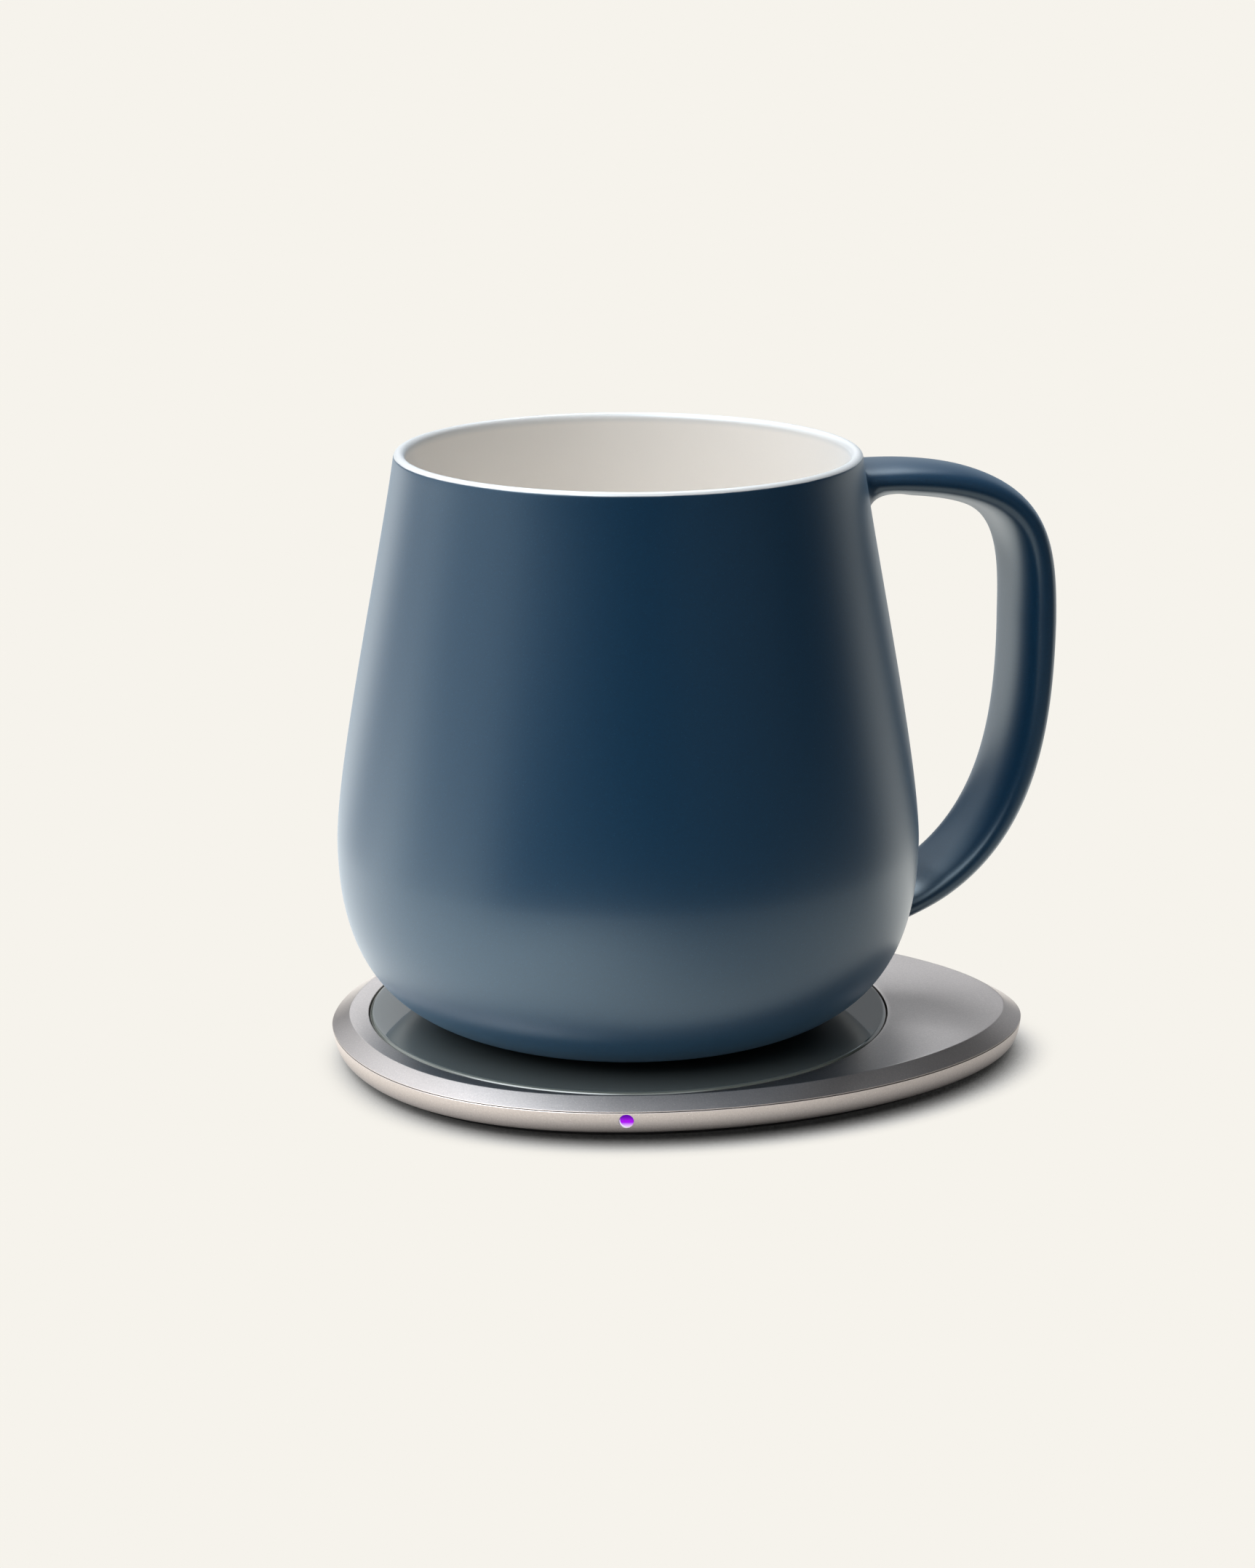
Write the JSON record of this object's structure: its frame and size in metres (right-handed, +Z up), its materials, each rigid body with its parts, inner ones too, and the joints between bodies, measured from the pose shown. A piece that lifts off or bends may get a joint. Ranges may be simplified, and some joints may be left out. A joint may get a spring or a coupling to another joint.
{
  "type": "self heating mug",
  "caption": "Ceramic mug with a strap handle that lifts off a thin egg-shaped induction warming pad with a round glass plate, an indicator light and a charging socket.",
  "frame": {"origin": "on the rubber foot's resting face, straight under the middle of the round glass plate and of the mug", "axes": "+Z up; +X from the pad's round heel along its line of symmetry to its narrow nose; +Y completes a right-handed frame, so the indicator light faces -Y"},
  "size_m": [0.1171, 0.0914, 0.0965],
  "materials": {
    "blue_glaze": "matte dark blue glaze with fine speckle outside, glossy white inside and on the lip",
    "pad_metal": "fine bead-blasted warm silver grey",
    "plate_glass": "glossy, grey-green, printed opaque from behind, rounded edge",
    "adhesive": "thin black bonding tape",
    "rubber": "matte black, not slippery",
    "steel": "plain",
    "silicone": "satin grey silicone",
    "copper_wire": null,
    "ferrite": "matte sintered ferrite",
    "mica": "thin pale mica sheet",
    "circuit_board": "green solder resist on glass fibre board",
    "black_moulding": "moulded black",
    "ceramic_capacitor": "fired tan ceramic",
    "light_lens": "clear moulding lit violet from behind"
  },
  "bodies": {
    "pad": {"pad_top_cover": "pad_metal", "pad_lower_case": "pad_metal", "non_slip_foot": "rubber", "glass_plate": "plate_glass", "glass_bond_ring": "adhesive", "insulation_sheet": "mica", "transmitter_coil": "copper_wire", "ferrite_shield": "ferrite", "temperature_sensor": "ceramic_capacitor", "sensor_pad": "silicone", "main_board": "circuit_board", "control_chip": "black_moulding", "power_input_chip": "black_moulding", "coil_driver_1": "black_moulding", "coil_driver_2": "black_moulding", "coil_driver_3": "black_moulding", "coil_driver_4": "black_moulding", "resonance_capacitor_1": "ceramic_capacitor", "resonance_capacitor_2": "ceramic_capacitor", "resonance_capacitor_3": "ceramic_capacitor", "power_inductor": "ferrite", "socket_shell": "steel", "socket_tongue": "black_moulding", "indicator_led": "silicone", "indicator_lens": "light_lens", "case_screw_1": "steel", "case_screw_2": "steel", "case_screw_3": "steel", "case_screw_4": "steel", "case_screw_5": "steel"},
    "mug": {"mug_body": "blue_glaze", "heating_disc": "steel", "heating_disc_cover": "silicone"}
  },
  "joints": [
    {"name": "mug_lift", "type": "slide", "parent": "pad", "child": "mug", "axis": [0, 0, 1], "range_m": [0, 0.12]}
  ]
}
